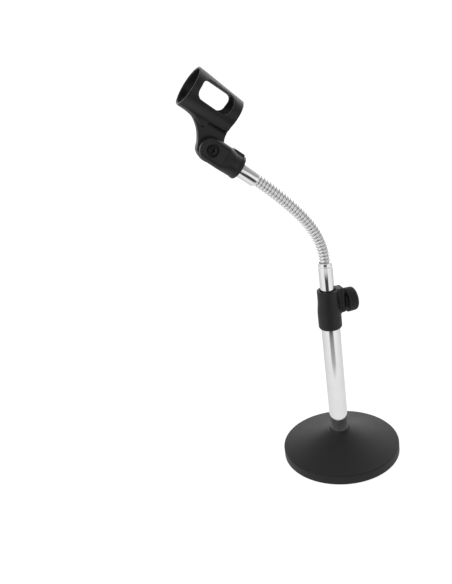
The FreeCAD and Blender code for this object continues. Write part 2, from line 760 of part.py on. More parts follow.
def pivot_screw():
    """Screw with a cross recess in its head, which is toward -Y."""
    head = size.screw_head_dia / 2
    head_top, head_seat, end, end_chamfer = -10.6, -7.95, 10.9, 0.5
    core = turned("pivot_screw_core", [
        (0.0, head_top), (2.4, head_top), (head - 0.5, -9.6), (head, -8.9),
        (head, head_seat), (pivot_radius, head_seat), (pivot_radius, end - end_chamfer),
        (pivot_radius - end_chamfer, end), (0.0, end)])
    cross_long, cross_wide, cross_high, cross_z = 5.2, 1.1, 2.0, -11.2
    cross_a = box("cross_a", (cross_long, cross_wide, cross_high),
                  (-cross_long / 2, -cross_wide / 2, cross_z))
    cross_b = box("cross_b", (cross_wide, cross_long, cross_high),
                  (-cross_wide / 2, -cross_long / 2, cross_z))
    return placed(cut("pivot_screw", core, cross_a, cross_b), PIVOT)


def pivot_nut():
    nut = hexagon("pivot_nut_hex", PIVOT_NUT_AF, 3.9, (0, 0, 7.25))
    bore = cylinder("pivot_nut_bore", pivot_radius + 0.04, 8.0, (0, 0, 5.0))
    return placed(cut("pivot_nut", nut, bore), PIVOT)


def friction_washers():
    """One washer on each side of the holder's tongue."""
    radius, thick = 9.0, size.pivot_washer
    face = size.tongue_thick / 2 + 0.05
    solid_a = cylinder("washer_a", radius, thick, (0, 0, face))
    solid_b = cylinder("washer_b", radius, thick, (0, 0, -face - thick))
    hole = cylinder("washer_hole", pivot_radius + 0.15, 20.0, (0, 0, -10.0))
    pair = doc.addObject("Part::Compound", "friction_washers")
    pair.Links = [cut("washer_a_cut", solid_a, hole), cut("washer_b_cut", solid_b, hole)]
    return placed(pair, PIVOT)


# ------------------------------------------------------ microphone holder
# drawn about the pivot: +Z toward the mouth of the tube, +X up to the tube

# side outlines of the neck under the tube, as (z, x) points
REAR = [(-9.0, 8.5), (-6.6, 11.1), (-4.8, 14.2), (-3.7, 17.6), (-3.0, 21.4), (-2.6, 28.0)]
FORE = [(10.6, -6.4), (12.9, -2.6), (15.6, 1.9), (20.2, 8.1), (25.6, 12.8), (31.8, 16.3),
        (39.7, 18.0), (46.0, 18.3)]
NECK_TOP = 33.0   # x, inside the tube
# side outline of the pockets that thin the neck to the tongue, (z, x) points
SHELF = [(-22.0, 22.8), (-2.0, 21.2), (7.2, 20.4), (16.3, 19.7), (17.2, 13.4), (29.4, 12.5),
         (40.0, 11.8), (40.0, -22.0), (-22.0, -22.0)]
SHELF_STEP_Z = (16.3, 17.2)   # the two shelf corners that are rounded
SHELF_ROUND = 2.0
POCKET_REACH = 20.0           # y, beyond the neck's side


def on_side(points):
    return [V(x, 0, z) for z, x in points]


def stored(name, shape):
    feature = doc.addObject("Part::Feature", name)
    feature.Shape = shape
    return feature


def neck_slab():
    """Slab as wide as the saddle, between the two smooth side curves."""
    rear, fore = on_side(REAR), on_side(FORE)
    curves = []
    for points in (rear, fore):
        curve = Part.BSplineCurve()
        curve.interpolate(points)
        curves.append(curve.toShape())
    rear_corner = V(NECK_TOP, 0, rear[-1].z)
    fore_corner = V(NECK_TOP, 0, fore[-1].z)
    lines = [Part.makeLine(rear[-1], rear_corner), Part.makeLine(rear_corner, fore_corner),
             Part.makeLine(fore_corner, fore[-1]), Part.makeLine(fore[0], rear[0])]
    wire = Part.Wire(Part.__sortEdges__(curves + lines))
    width = size.saddle_wide.mm
    solid = Part.Face(wire).extrude(V(0, width, 0))
    solid.translate(V(0, -width / 2.0, 0))
    return stored("neck_slab", solid)


def shelf_pocket(name, low_y):
    wire = Part.makePolygon(on_side(SHELF + SHELF[:1]))
    solid = Part.Face(wire).extrude(V(0, POCKET_REACH - size.tongue_thick.mm / 2, 0))
    solid.translate(V(0, low_y, 0))
    corners = [edge for edge in solid.Edges if edge.BoundBox.YLength > 1
               and any(abs(edge.BoundBox.Center.z - z) < 0.1 for z in SHELF_STEP_Z)]
    return stored(name, solid.makeFillet(SHELF_ROUND, corners))


def window(name, back, front, low_y):
    """Cutter through one side of the tube, rounded at its four corners."""
    block = box(name + "_block", (size.window_high - size.window_low, 30.0, front - back),
                (size.window_low, low_y, back))
    return softened("Fillet", name, block, size.window_round.mm,
                    lambda edge: edge.BoundBox.YLength > 10)


def clip_holder():
    back, front = size.holder_back, size.holder_front
    outer, outer_back = size.holder_dia / 2, size.holder_back_dia / 2
    bore, bore_back = size.holder_bore / 2, size.holder_back_bore / 2
    ring_start = front - size.ring_len
    mouth_flare = 0.6
    tube_axis = FreeCAD.Placement(V(size.holder_drop.mm, 0, 0), FreeCAD.Rotation())
    tube_outer = turned("holder_outer", [
        (0.0, back), (outer_back, back), (outer - 0.2, ring_start),
        (outer, front), (0.0, front)], tube_axis)
    tube_inner = turned("holder_inner", [
        (0.0, back - 1.0), (bore_back, back - 1.0), (bore_back, back), (bore, ring_start),
        (bore, front - mouth_flare), (bore + mouth_flare, front + 0.02),
        (bore + mouth_flare, front + 1.0), (0.0, front + 1.0)], tube_axis)

    thick = size.tongue_thick
    neck = cut("neck", neck_slab(), shelf_pocket("shelf_near", -POCKET_REACH),
               shelf_pocket("shelf_far", thick.mm / 2))
    tongue = cylinder("tongue_disc", size.tongue_dia / 2, thick, (0, -thick / 2, 0), ALONG_Y)
    union = fuse("holder_union", tube_outer, neck, tongue)

    # near is toward -Y, far toward +Y
    near_window = window("near_window", size.window_back, size.window_front, -30.0)
    far_window = window("far_window", size.far_window_back, size.far_window_front, 0.0)
    pivot_hole = cylinder("pivot_hole", pivot_radius + size.fit, 30.0, (0, -15.0, 0), ALONG_Y)
    holder = cut("clip_holder", union, tube_inner, near_window, far_window, pivot_hole)
    return placed(holder, AT_PIVOT)


# -------------------------------------------------- build, check and write
pieces = [
    base_plate(), foot_ring(), base_washer(), base_bolt(), tube_plug(),
    lower_tube(), upper_guide(), inner_tube(), guide_bush(),
    clamp_body(), clamp_nut(), pressure_pad(), clamp_screw(), clamp_knob(),
    *gooseneck(),
    upper_ferrule(), thread_insert(), swivel_base(),
    pivot_screw(), pivot_nut(), friction_washers(), clip_holder(),
]
doc.recompute()

failed = [o.Name for o in doc.Objects if "Invalid" in o.State or "Error" in o.State]
if failed:
    raise RuntimeError("failed objects: " + ", ".join(failed))
for piece in pieces:
    if piece.Shape.isNull() or not piece.Shape.isValid():
        raise RuntimeError("bad shape: " + piece.Label)
    solids = 2 if piece.Label == "friction_washers" else 1
    if len(piece.Shape.Solids) != solids:
        raise RuntimeError("%s has %d solids" % (piece.Label, len(piece.Shape.Solids)))

os.makedirs("parts", exist_ok=True)
for piece in pieces:
    piece.Shape.exportStep("parts/%s.step" % piece.Label)
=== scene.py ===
"""Desk microphone stand: round base, chrome column with a clamp and side knob, gooseneck,
swivel fork and tilting microphone holder.

The column stands on the z axis with the base on the floor at z = 0. The gooseneck bends in
the xz plane and the clamp knob points along +x. Shapes are drawn in millimetres; joints,
lights and camera are in metres.
"""
import json
import math

import bpy
import numpy as np
from mathutils import Matrix, Vector


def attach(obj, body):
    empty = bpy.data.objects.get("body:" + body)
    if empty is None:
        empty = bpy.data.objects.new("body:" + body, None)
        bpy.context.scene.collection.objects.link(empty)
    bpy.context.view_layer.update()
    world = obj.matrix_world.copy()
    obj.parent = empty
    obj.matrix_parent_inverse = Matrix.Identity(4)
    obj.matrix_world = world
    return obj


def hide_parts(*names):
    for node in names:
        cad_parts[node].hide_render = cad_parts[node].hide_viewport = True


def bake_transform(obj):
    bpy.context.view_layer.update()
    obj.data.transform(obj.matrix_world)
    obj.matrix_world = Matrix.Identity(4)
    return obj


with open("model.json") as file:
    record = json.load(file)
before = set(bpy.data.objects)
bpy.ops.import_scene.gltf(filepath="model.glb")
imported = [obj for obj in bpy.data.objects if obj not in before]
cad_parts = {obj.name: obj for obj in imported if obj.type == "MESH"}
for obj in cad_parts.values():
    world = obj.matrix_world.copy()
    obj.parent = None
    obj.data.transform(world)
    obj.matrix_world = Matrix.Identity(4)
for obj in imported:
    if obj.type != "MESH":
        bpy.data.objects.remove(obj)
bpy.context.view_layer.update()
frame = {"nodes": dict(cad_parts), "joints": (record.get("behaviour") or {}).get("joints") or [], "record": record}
CAD = frame["nodes"]
JOINT = {joint["name"]: joint for joint in frame["joints"]}
MM = 0.001

# ---------------------------------------------------------------- layout
# Gooseneck, metres
HINGES = [Vector(JOINT["gooseneck_bend_%d" % k]["pos_m"]) for k in range(1, 9)]
HALF_LINK = (HINGES[1] - HINGES[0]).length / 2
HEAD_DIR = Vector(JOINT["holder_turn"]["axis"]).normalized()
PIVOT = Vector(JOINT["holder_tilt"]["pos_m"])
Y = Vector((0, 1, 0))
UP = Y.cross(HEAD_DIR).normalized()            # from the pivot up to the holder's tube
NECK_END = HINGES[7] + HEAD_DIR * HALF_LINK
NECK_START_Z = HINGES[0].z - HALF_LINK
LINKS = 8
# Direction and place of the neck's centre line where one link meets the next
LINK_DIRS = ([Vector((0, 0, 1))]
             + [(HINGES[k + 1] - HINGES[k]).normalized() for k in range(7)] + [HEAD_DIR])
LINK_ENDS = ([Vector((0, 0, NECK_START_Z))]
             + [(HINGES[k] + HINGES[k + 1]) / 2 for k in range(7)] + [NECK_END])

# Heights shared by several pieces, mm
COLUMN_SEAT = 25.7     # foot of the column, inside the base's boss
COLUMN_TOP = 172.7
KNOB_Z = 183.4         # axis of the clamp knob
FORK_BASE = 20.5       # foot of the swivel fork, measured from the neck's end


def head_frame(origin):
    """4x4 that takes local x to UP, y to +Y and z to HEAD_DIR."""
    matrix = Matrix((UP, Y, HEAD_DIR)).transposed().to_4x4()
    matrix.translation = origin
    return matrix


AT_NECK_END = head_frame(NECK_END)
AT_PIVOT = head_frame(PIVOT)


# ---------------------------------------------------------- mesh helpers
def shade(mesh, sharp):
    """Smooth shading with edges sharper than an angle (degrees) kept crisp."""
    mesh.polygons.foreach_set("use_smooth", [True] * len(mesh.polygons))
    mesh.set_sharp_from_angle(angle=math.radians(sharp))


def make(name, verts, faces, matrix=None, sharp=35.0):
    """Mesh object from arrays in millimetres, put in place with matrix."""
    verts = np.asarray(verts, float) * MM
    if matrix is not None:
        placing = np.array(matrix)
        verts = verts @ placing[:3, :3].T + placing[:3, 3]
    mesh = bpy.data.meshes.new(name)
    mesh.from_pydata([tuple(v) for v in verts], [], [tuple(int(i) for i in f) for f in faces])
    mesh.validate()
    shade(mesh, sharp)
    obj = bpy.data.objects.new(name, mesh)
    bpy.context.scene.collection.objects.link(obj)
    return obj


def register(obj, slot, body, replaced):
    obj.data.materials.append(SLOT_MATERIALS[slot])
    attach(obj, body)
    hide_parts(replaced)


def arc(centre_r, centre_z, radius, start, end, steps):
    """Profile points along an arc, angles in degrees."""
    angles = [math.radians(start + (end - start) * i / steps) for i in range(steps + 1)]
    return [(centre_r + radius * math.cos(a), centre_z + radius * math.sin(a)) for a in angles]


def lathe(name, profile, segments, matrix=None, sharp=30.0, shape=None):
    """Turns a closed profile of (radius, height), anticlockwise, round the z axis.

    shape(radius, height, angle) may return changed radii.
    """
    points = np.array(profile, float)
    angle = np.arange(segments) * 2 * math.pi / segments
    radius, height = (np.repeat(points[:, i:i + 1], segments, 1) for i in (0, 1))
    if shape is not None:
        radius = shape(radius, height, angle)
    rings = np.stack([radius * np.cos(angle), radius * np.sin(angle), height], -1)
    verts, rows = [], []
    for point, ring in zip(points, rings):
        if point[0] < 1e-6:          # a point on the axis is one vertex
            rows.append(len(verts))
            verts.append(ring[0])
        else:
            rows.append(list(range(len(verts), len(verts) + segments)))
            verts.extend(ring)
    faces = []
    for low, high in zip(rows, rows[1:] + rows[:1]):
        low_pole, high_pole = isinstance(low, int), isinstance(high, int)
        if low_pole and high_pole:
            continue
        for s in range(segments):
            t = (s + 1) % segments
            if low_pole:
                faces.append((low, high[t], high[s]))
            elif high_pole:
                faces.append((low[s], low[t], high))
            else:
                faces.append((low[s], low[t], high[t], high[s]))
    return make(name, np.array(verts), faces, matrix, sharp)


# ------------------------------------------------------------- materials
class Nodes:
    """Adds nodes to a cleared shader tree; an input takes a value or a socket to link."""

    def __init__(self, owner):
        owner.use_nodes = True
        self.tree = owner.node_tree
        self.tree.nodes.clear()

    def feed(self, socket, value):
        if isinstance(value, bpy.types.NodeSocket):
            self.tree.links.new(value, socket)
        else:
            socket.default_value = value

    def add(self, kind, inputs=None, **settings):
        node = self.tree.nodes.new("ShaderNode" + kind)
        for key, value in settings.items():
            setattr(node, key, value)
        for key, value in (inputs or {}).items():
            self.feed(node.inputs[key], value)
        return node

    def math(self, operation, *values):
        return self.add("Math", dict(enumerate(values)), operation=operation).outputs[0]

    def dot(self, vector, direction):
        inputs = {0: vector, 1: tuple(direction)}
        return self.add("VectorMath", inputs, operation="DOT_PRODUCT").outputs["Value"]

    def noise(self, vector, scale, detail, rough, stretch=None):
        if stretch is not None:
            vector = self.add("Mapping", {"Scale": stretch, "Vector": vector}).outputs[0]
        return self.add("TexNoise", {"Scale": scale, "Detail": detail, "Roughness": rough,
                                     "Vector": vector}).outputs["Fac"]

    def remap(self, value, span, to=(0.0, 1.0)):
        return self.add("MapRange", {"From Min": span[0], "From Max": span[1], "To Min": to[0],
                                     "To Max": to[1], "Value": value}).outputs[0]

    def mix(self, factor, *colors):
        node = self.add("Mix", data_type="RGBA")
        self.feed(node.inputs["Factor"], factor)
        for socket, color in zip([s for s in node.inputs if s.type == "RGBA"], colors):
            self.feed(socket, (*color, 1.0) if isinstance(color, tuple) else color)
        return next(s for s in node.outputs if s.type == "RGBA")

    def bump(self, height, strength, distance, **more):
        return self.add("Bump", {"Strength": strength, "Distance": distance,
                                 "Height": height, **more}).outputs[0]

    def light(self, kind, strength):
        """White Emission or Background shader."""
        return self.add(kind, {"Color": (1, 1, 1, 1), "Strength": strength}).outputs[0]

    def mix_shader(self, factor, off, on):
        return self.add("MixShader", {0: factor, 1: off, 2: on}).outputs[0]


def new_material(name):
    material = bpy.data.materials.new(name)
    nodes = Nodes(material)
    return material, nodes


def principled(nodes, **inputs):
    """Principled surface; underscores in input names stand for spaces."""
    inputs = {key.replace("_", " "): value for key, value in inputs.items()}
    nodes.add("OutputMaterial", {0: nodes.add("BsdfPrincipled", inputs).outputs[0]})


def chrome(name, tint=(0.90, 0.90, 0.905), rough=0.045, stretch=(1, 1, 1)):
    """Polished metal with faint smears and a fine grain."""
    material, nodes = new_material(name)
    place = nodes.add("TexCoord").outputs["Object"]
    smear = nodes.noise(place, scale=55.0, detail=4.0, rough=0.6)
    fine = nodes.noise(place, scale=900.0, detail=2.0, rough=0.5, stretch=stretch)
    smeared_tint = tuple(0.94 * c for c in tint)
    principled(
        nodes,
        Metallic=1.0,
        Base_Color=nodes.mix(nodes.remap(smear, span=(0.35, 0.75)), tint, smeared_tint),
        Roughness=nodes.math("ADD",
                             nodes.remap(smear, span=(0.4, 0.8), to=(rough, rough + 0.05)),
                             nodes.remap(fine, span=(0.45, 0.75), to=(0.0, 0.02))),
        Normal=nodes.bump(fine, strength=0.02, distance=0.00002))
    return material


def plastic(name, rough, color=(0.009, 0.009, 0.0095), grain=2200.0, depth=0.25):
    """Moulded surface; grain is the noise scale of the texture, depth its bump strength."""
    roughness_spread = 0.08
    painted_edge_highlight = 0.02
    material, nodes = new_material(name)
    place = nodes.add("TexCoord").outputs["Object"]
    pointiness = nodes.add("NewGeometry").outputs["Pointiness"]
    tone = nodes.noise(place, scale=70.0, detail=5.0, rough=0.6)
    fine = nodes.noise(place, scale=grain, detail=3.0, rough=0.6)
    edge = nodes.remap(pointiness, span=(0.52, 0.60))
    base = nodes.mix(nodes.remap(tone, span=(0.35, 0.7)), color,
                     tuple(c * 1.35 + 0.002 for c in color))
    # Sharp edges are painted lighter, a painted highlight along the edges
    edge_highlighted = nodes.mix(nodes.math("MULTIPLY", edge, painted_edge_highlight * 10), base,
                     tuple(c + 0.03 for c in color))
    low, high = rough - roughness_spread / 2, rough + roughness_spread / 2
    principled(
        nodes,
        Base_Color=edge_highlighted,
        Roughness=nodes.math("ADD",
                             nodes.remap(tone, span=(0.3, 0.75), to=(low, high)),
                             nodes.remap(fine, span=(0.3, 0.7), to=(-0.03, 0.03))),
        Specular_IOR_Level=0.36,
        Normal=nodes.bump(fine, strength=depth, distance=0.00006))
    return material


def metal(name, color, rough):
    """Plain metal with patchy tone and a fine grain."""
    material, nodes = new_material(name)
    place = nodes.add("TexCoord").outputs["Object"]
    tone = nodes.noise(place, scale=120.0, detail=4.0, rough=0.6)
    fine = nodes.noise(place, scale=1500.0, detail=2.0, rough=0.5)
    dull = tuple(0.8 * c for c in color)
    principled(
        nodes,
        Metallic=1.0,
        Base_Color=nodes.mix(nodes.remap(tone, span=(0.3, 0.7)), color, dull),
        Roughness=nodes.remap(tone, span=(0.3, 0.7), to=(rough - 0.05, rough + 0.08)),
        Normal=nodes.bump(fine, strength=0.15, distance=0.00003))
    return material


def powder_coat(name):
    """Black satin powder coat over a casting."""
    material, nodes = new_material(name)
    place = nodes.add("TexCoord").outputs["Object"]
    tone = nodes.noise(place, scale=24.0, detail=5.0, rough=0.6)
    peel = nodes.noise(place, scale=650.0, detail=3.0, rough=0.55)
    fine = nodes.noise(place, scale=2600.0, detail=2.0, rough=0.5)
    peel_bump = nodes.bump(peel, strength=0.12, distance=0.00012)
    principled(
        nodes,
        Base_Color=nodes.mix(nodes.remap(tone, span=(0.3, 0.75)),
                             (0.0105, 0.0105, 0.011), (0.0145, 0.0145, 0.015)),
        Roughness=nodes.math("ADD",
                             nodes.remap(tone, span=(0.3, 0.7), to=(0.50, 0.58)),
                             nodes.remap(fine, span=(0.3, 0.7), to=(-0.03, 0.03))),
        Specular_IOR_Level=0.34,
        Normal=nodes.bump(fine, strength=0.15, distance=0.00004, Normal=peel_bump))
    return material


SLOT_MATERIALS = {
    "chrome": chrome("chrome_tube", stretch=(1, 1, 0.08)),
    "neck_chrome": chrome("chrome_wire", rough=0.08),
    "base_coat": powder_coat("powder_coat"),
    "holder_plastic": plastic("holder_plastic", rough=0.40, depth=0.18),
    "clamp_plastic": plastic("clamp_plastic", rough=0.48, depth=0.35),
    "knob_plastic": plastic("knob_plastic", rough=0.52, depth=0.5, grain=1400.0),
    "foot_rubber": plastic("foot_rubber", color=(0.012, 0.012, 0.012), rough=0.75,
                           depth=0.5, grain=900.0),
    "nylon": plastic("nylon", color=(0.55, 0.55, 0.50), rough=0.45),
    "fibre_washer": plastic("fibre_washer", color=(0.04, 0.035, 0.03), rough=0.8, depth=0.6),
    "zinc_steel": metal("zinc_steel", color=(0.56, 0.57, 0.58), rough=0.32),
    "black_steel": metal("black_steel", color=(0.035, 0.035, 0.037), rough=0.38),
    "brass": metal("brass", color=(0.62, 0.44, 0.19), rough=0.25),
}
# Duller steel for the wedge wire, its tint darkened further as painted shade in the gaps between the round wire's
# turns
WEDGE_STEEL_PAINTED_SHADE = chrome("wedge_wire_steel_painted_shade", tint=(0.52, 0.52, 0.53), rough=0.14)

for part in frame["record"]["subparts"]:
    part_mesh = CAD[part["node"]].data
    part_mesh.materials.clear()
    part_mesh.materials.append(SLOT_MATERIALS[part["material_slot"]])
    shade(part_mesh, sharp=28)


# ------------------------------------------------ solid shapes as fields
# A field is negative inside the solid. The last argument of join, meet and cut is the
# blend size in mm where the two surfaces run together.
def join(a, b, blend):
    share = np.clip(0.5 + 0.5 * (b - a) / blend, 0.0, 1.0)
    return b + (a - b) * share - blend * share * (1.0 - share)


def meet(a, b, blend):
    return -join(-a, -b, blend)


def cut(body, tool, blend):
    return meet(body, -tool, blend)


def unit(value):
    return np.clip(value, 0, 1)


def smoothstep(value):
    t = unit(value)
    return t * t * (3 - 2 * t)


def round_box(u, v, half_u, half_v, corner):
    a, b = np.abs(u) - half_u + corner, np.abs(v) - half_v + corner
    outside = np.sqrt(np.maximum(a, 0) ** 2 + np.maximum(b, 0) ** 2)
    return outside + np.minimum(np.maximum(a, b), 0) - corner


def outline_field(points):
    """Signed distance to a closed outline in a plane, negative inside."""
    starts = np.array(points, float)
    ends = np.roll(starts, -1, axis=0)

    def distance(u, v):
        u, v = np.broadcast_arrays(u, v)
        shape = u.shape
        u, v = u.ravel(), v.ravel()
        nearest = np.full(u.shape, 1e9)
        inside = np.zeros(u.shape, bool)
        for (start_u, start_v), (end_u, end_v) in zip(starts, ends):
            edge_u, edge_v = end_u - start_u, end_v - start_v
            from_u, from_v = u - start_u, v - start_v
            length2 = max(edge_u * edge_u + edge_v * edge_v, 1e-12)
            t = np.clip((from_u * edge_u + from_v * edge_v) / length2, 0, 1)
            gap2 = (from_u - t * edge_u) ** 2 + (from_v - t * edge_v) ** 2
            nearest = np.minimum(nearest, gap2)
            crossed = (start_v > v) != (end_v > v)
            if abs(edge_v) > 1e-12:
                inside ^= crossed & (u < start_u + (v - start_v) / edge_v * edge_u)
        return (np.sqrt(nearest) * np.where(inside, -1.0, 1.0)).reshape(shape)
    return distance


def smooth_line(points, per_span=10):
    """Catmull-Rom curve through the points."""
    p = np.array(points, float)
    p = np.vstack([2 * p[0] - p[1], p, 2 * p[-1] - p[-2]])
    curve = []
    for i in range(1, len(p) - 2):
        before, start, end, after = p[i - 1:i + 3]
        for t in np.arange(per_span) / per_span:
            curve.append(0.5 * (2 * start + (end - before) * t
                                + (2 * before - 5 * start + 4 * end - after) * t ** 2
                                + (3 * start - before - 3 * end + after) * t ** 3))
    curve.append(p[-2])
    return [tuple(v) for v in curve]


def skin(field, low, high, step):
    """Quads over the zero level of a field, with the points slid onto it."""
    low, high = np.array(low, float), np.array(high, float)
    count = np.ceil((high - low) / step).astype(int) + 1
    axes = [low[i] + step * np.arange(count[i]) for i in range(3)]
    values = field(axes[0][:, None, None], axes[1][None, :, None], axes[2][None, None, :])
    values = np.ascontiguousarray(np.broadcast_to(values, tuple(count)))
    inside = values < 0

    # One vertex per grid cell that the surface crosses, at the mean of its edge crossings
    corners = [(i, j, k) for i in (0, 1) for j in (0, 1) for k in (0, 1)]
    filled = np.zeros(count - 1, np.int8)
    for i, j, k in corners:
        filled += inside[i:count[0] - 1 + i, j:count[1] - 1 + j, k:count[2] - 1 + k]
    cells = np.argwhere((filled > 0) & (filled < 8))
    corner_values = {c: values[tuple((cells + c).T)] for c in corners}
    verts = np.zeros((len(cells), 3))
    crossings = np.zeros(len(cells))
    for corner in corners:
        for axis in range(3):
            if corner[axis]:
                continue
            other = list(corner)
            other[axis] = 1
            a, b = corner_values[corner], corner_values[tuple(other)]
            hit = (a < 0) != (b < 0)
            point = np.array(corner, float)[None, :].repeat(len(cells), 0)
            point[:, axis] += np.where(hit, a / np.where(hit, a - b, 1.0), 0.0)
            verts += point * hit[:, None]
            crossings += hit
    verts = low + step * (cells + verts / crossings[:, None])

    # One quad round each grid edge that the surface crosses
    vertex_of = -np.ones(filled.shape, int)
    vertex_of[tuple(cells.T)] = np.arange(len(cells))
    quads = []
    for axis in range(3):
        e, f = (axis + 1) % 3, (axis + 2) % 3
        first, second = [slice(None)] * 3, [slice(None)] * 3
        first[axis] = slice(0, count[axis] - 1)
        second[axis] = slice(1, count[axis])
        starts = inside[tuple(first)]
        edges = np.argwhere(starts != inside[tuple(second)])
        edges = edges[(edges[:, e] > 0) & (edges[:, f] > 0)
                      & (edges[:, e] < count[e] - 1) & (edges[:, f] < count[f] - 1)]
        around = []
        for shift_e, shift_f in ((-1, -1), (0, -1), (0, 0), (-1, 0)):
            cell = edges.copy()
            cell[:, e] += shift_e
            cell[:, f] += shift_f
            around.append(vertex_of[tuple(cell.T)])
        quad = np.stack(around, 1)
        outward = starts[tuple(edges.T)]
        quad[~outward] = quad[~outward][:, ::-1]
        quads.append(quad)

    # Slide the vertices along the gradient, a limited way each pass
    h = 0.02
    for _ in range(3):
        x, y, z = verts.T
        value = field(x, y, z)
        gradient = np.stack([field(x + h, y, z) - field(x - h, y, z),
                             field(x, y + h, z) - field(x, y - h, z),
                             field(x, y, z + h) - field(x, y, z - h)], 1) / (2 * h)
        steepness = np.maximum((gradient ** 2).sum(1), 0.05)
        move = -(value / steepness)[:, None] * gradient
        size = np.linalg.norm(move, axis=1, keepdims=True)
        verts = verts + move * np.minimum(1.0, 0.35 * step / np.maximum(size, 1e-9))
    return verts, np.concatenate(quads)


def carved(name, field, low, high, step, matrix=None):
    """Object skinned from a field inside the box from low to high."""
    step = step * 1.0
    verts, quads = skin(field, low, high, step)
    return make(name, verts, quads, matrix, sharp=40.0)


# ----------------------------------------------------- microphone holder
# Pivot frame: x up to the tube, z along the tube to its wide front end.
TUBE_UP = 36.5                          # tube axis above the pivot
TUBE_FRONT, TUBE_BACK = 48.4, -2.6      # ends of the tube
OUTER_FRONT, OUTER_BACK = 19.1, 16.2    # outer radii
BORE_FRONT, BORE_BACK = 17.2, 14.3      # bore radii
RING, RING_RISE = 6.8, 0.2              # length and rise of the band at the front
WEB_HALF, CORE_HALF = 8.5, 4.0          # half widths of the web and of its thin core
TONGUE_R, HOLDER_PIN_R = 12.4, 2.56     # round tongue at the pivot and its hole
# Outlines as (x up, z forward)
WEB_REAR = [(8.5, -9.0), (11.1, -7.1), (14.2, -5.8), (17.6, -4.8), (21.4, -3.7), (28.0, -2.6)]
WEB_FRONT = [(-6.4, 10.6), (-2.6, 12.9), (1.9, 15.6), (8.1, 20.2),
             (12.8, 25.6), (16.3, 31.8), (18.0, 39.7), (18.3, 46.0)]
SHELF = [(22.9, -24.0), (21.2, -2.0), (20.4, 7.2), (19.8, 15.2), (18.8, 16.4), (14.6, 17.0),
         (13.3, 18.2), (12.5, 29.4), (11.8, 42.0), (-24.0, 42.0), (-24.0, -24.0)]
web_outline = outline_field(smooth_line(WEB_REAR) + [(33.0, -2.6), (33.0, 46.0)]
                            + smooth_line(WEB_FRONT)[::-1])
shelf_outline = outline_field(SHELF)


def holder_field(x, y, z):
    """Tapered tube joined by a web to a round tongue at the pivot."""
    radius = np.sqrt((x - TUBE_UP) ** 2 + y ** 2)
    pivot_radius = np.sqrt(x ** 2 + z ** 2)
    taper = unit((z - TUBE_BACK) / (TUBE_FRONT - RING - TUBE_BACK))
    outer = (OUTER_BACK + (OUTER_FRONT - RING_RISE - OUTER_BACK) * taper
             + RING_RISE * unit((z - TUBE_FRONT + RING) / RING))
    slope_scale = 0.998                 # brings the tapered wall nearer to true distance
    tube = meet((radius - outer) * slope_scale, TUBE_BACK - z, 0.9)
    tube = meet(tube, z - TUBE_FRONT, 0.35)
    # The web draws in towards the shelf line, and below it only the core is left
    outline = web_outline(x, z)
    shelf = shelf_outline(x, z)
    web = meet(outline + 1.7 * (1 - smoothstep(shelf / 8.0)), np.abs(y) - WEB_HALF, 2.4)
    beside_core = meet(shelf, 3.4 - np.abs(y), 2.4)
    core = meet(outline, np.abs(y) - CORE_HALF, 1.4)
    web = join(cut(web, beside_core, 2.0), core, 1.2)
    tongue = meet(join(outline, pivot_radius - TONGUE_R, 4.0), np.abs(y) - CORE_HALF, 1.0)
    body = join(tube, join(web, tongue, 0.8), 4.2)
    # Tapered bore, flared at the front
    bore = BORE_BACK + (BORE_FRONT - BORE_BACK) * taper
    bore = np.maximum(bore, BORE_FRONT + 0.75 - (TUBE_FRONT - z) * 0.9)
    body = cut(body, radius - bore, 0.35)
    # A rounded window in each side wall of the tube
    window_minus = meet(round_box(x - 40.6, z - 24.05, 9.4, 17.25, 6.5), y, 0.1)
    window_plus = meet(round_box(x - 41.9, z - 21.5, 8.4, 16.1, 6.5), -y, 0.1)
    body = cut(body, np.minimum(window_minus, window_plus), 1.0)
    return cut(body, pivot_radius - HOLDER_PIN_R, 0.2)


register(carved("holder_shell", holder_field, low=(-13.2, -20.0, -13.6), high=(56.6, 20.0, 49.4),
                step=0.55, matrix=AT_PIVOT),
         "holder_plastic", "holder", "clip_holder")

# ----------------------------------------------------------- swivel fork
# Neck-end frame: z along the head, x up.
FORK_PIVOT = 54.0                       # pivot from the neck's end
SLOT_FLOOR, SLOT_HALF = 40.0, 4.8       # slot between the ears
EAR_R, FORK_PIN_R = 12.1, 2.6
SCREW_RECESS_R = 6.0                    # round recess on the -y ear
NUT_RECESS_HALF = 4.06                  # hexagon on the +y ear, half across flats


